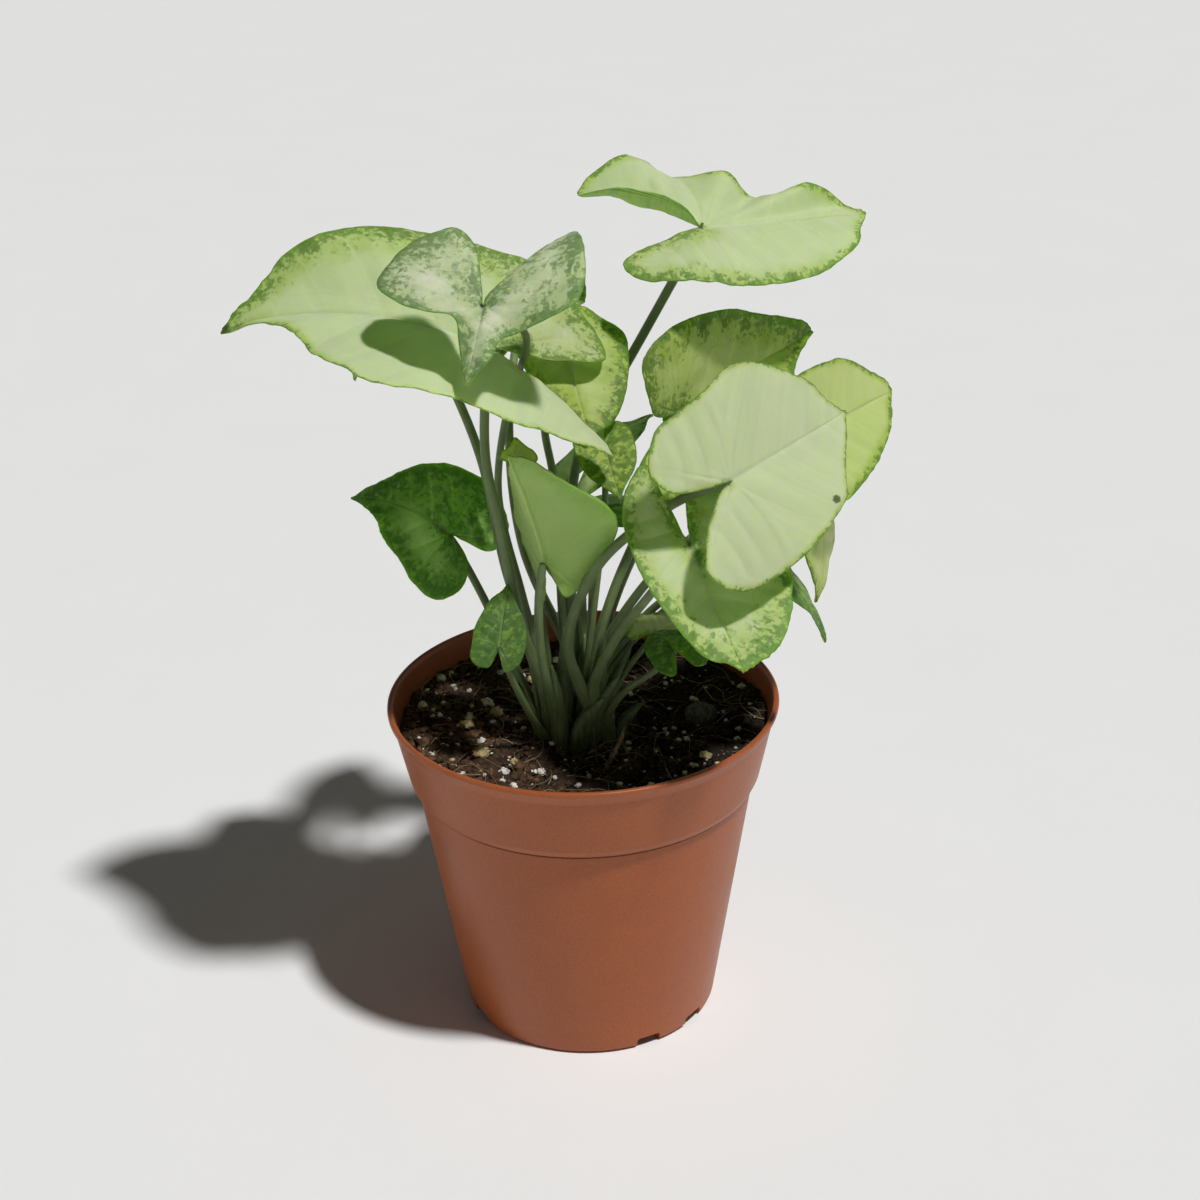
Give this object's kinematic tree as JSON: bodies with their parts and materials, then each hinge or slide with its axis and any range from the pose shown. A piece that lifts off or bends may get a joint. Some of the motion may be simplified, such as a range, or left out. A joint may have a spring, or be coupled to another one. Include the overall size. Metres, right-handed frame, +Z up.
{
  "type": "potted arrowhead plant",
  "caption": "Young arrowhead plant with pale, green-speckled arrow-shaped leaves on slim stalks, rooted in dark soil in a tapered terracotta-brown plastic nursery pot.",
  "frame": {"origin": "centre of the pot's base, on the surface that it stands on", "axes": "+Z up out of the pot, -Y towards the plant's front, +X to its right as seen from the front"},
  "size_m": [0.1958, 0.1623, 0.2595],
  "materials": {
    "pot_plastic": "satin, moulded",
    "potting_soil": "loose dark peat with perlite",
    "stalk": "smooth living stalk",
    "cream_leaf": "soft satin leaf, cream with green-speckled margins",
    "lime_leaf": "soft satin leaf, yellow-green with green margins",
    "green_leaf": "soft satin leaf, green with pale mottling"
  },
  "bodies": {
    "root": {"pot": "pot_plastic", "soil": "potting_soil", "shoot_left": "stalk", "shoot_middle": "stalk", "shoot_right": "stalk", "shoot_back": "stalk", "leaf_broad": "cream_leaf", "leaf_winged": "cream_leaf", "leaf_top": "cream_leaf", "leaf_upper_right": "lime_leaf", "leaf_front_right": "cream_leaf", "leaf_far_right": "lime_leaf", "leaf_low_right": "cream_leaf", "leaf_yellow": "lime_leaf", "leaf_hanging": "lime_leaf", "leaf_slender": "green_leaf", "leaf_upright": "green_leaf", "leaf_left": "green_leaf", "leaf_small_left": "green_leaf", "leaf_middle_back": "green_leaf", "leaf_middle": "lime_leaf", "leaf_crest": "lime_leaf", "leaf_low_pale": "cream_leaf", "leaf_low_round": "green_leaf", "leaf_back_left": "lime_leaf", "leaf_back_right": "lime_leaf", "leaf_back_low": "green_leaf", "leaf_back_top": "cream_leaf"}
  },
  "joints": []
}
